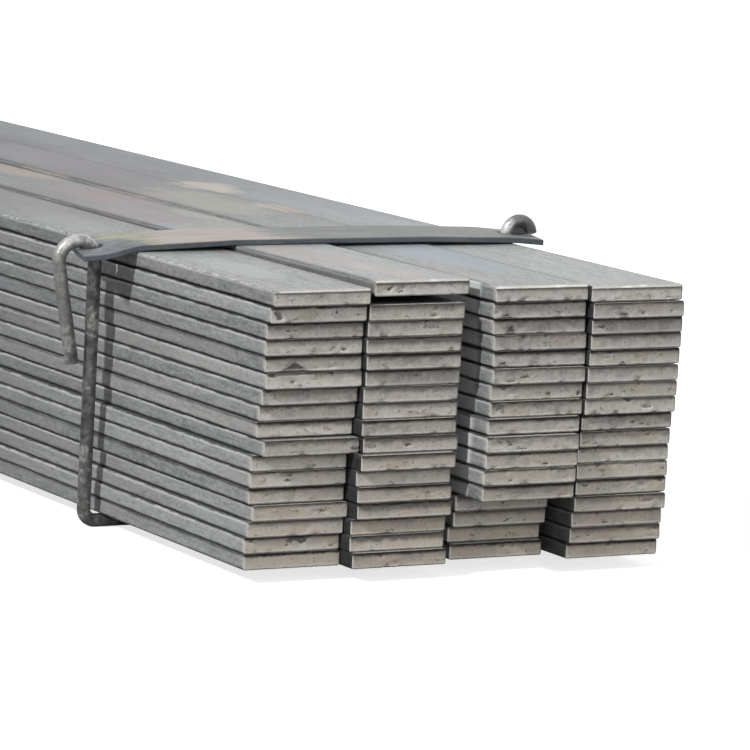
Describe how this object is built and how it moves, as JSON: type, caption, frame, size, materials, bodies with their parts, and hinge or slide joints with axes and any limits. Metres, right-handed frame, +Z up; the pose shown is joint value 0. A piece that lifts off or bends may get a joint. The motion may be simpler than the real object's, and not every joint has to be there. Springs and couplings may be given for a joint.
{
  "type": "metal flat bar bundle",
  "caption": "Tied bundle of hot-rolled steel flat bar, stacked flat in columns and layers, held by flat straps and hooked round tie rods.",
  "frame": {"origin": "middle of the footprint, on the floor under the tie rods", "axes": "+X along the bars towards the stepped near end, +Y across the bundle, +Z up"},
  "size_m": [3.0274, 0.2202, 0.1216],
  "materials": {
    "mill_scale_steel": "hot-rolled mill scale, grey with a faint blue-green tint, bright edges and sheared ends",
    "tie_rod_steel": "drawn wire rod, dull grey with worn bright spots",
    "tie_strap_steel": "flat strap with brownish scale on top and dark edges"
  },
  "bodies": {
    "root": {"layer_01": "mill_scale_steel", "layer_02": "mill_scale_steel", "layer_03": "mill_scale_steel", "layer_04": "mill_scale_steel", "layer_05": "mill_scale_steel", "layer_06": "mill_scale_steel", "layer_07": "mill_scale_steel", "layer_08": "mill_scale_steel", "layer_09": "mill_scale_steel", "layer_10": "mill_scale_steel", "layer_11": "mill_scale_steel", "layer_12": "mill_scale_steel", "layer_13": "mill_scale_steel", "layer_14": "mill_scale_steel", "layer_15": "mill_scale_steel", "layer_16": "mill_scale_steel", "layer_17": "mill_scale_steel", "tie_rod_1": "tie_rod_steel", "tie_rod_2": "tie_rod_steel", "tie_strap_1": "tie_strap_steel", "tie_strap_2": "tie_strap_steel"}
  },
  "joints": []
}
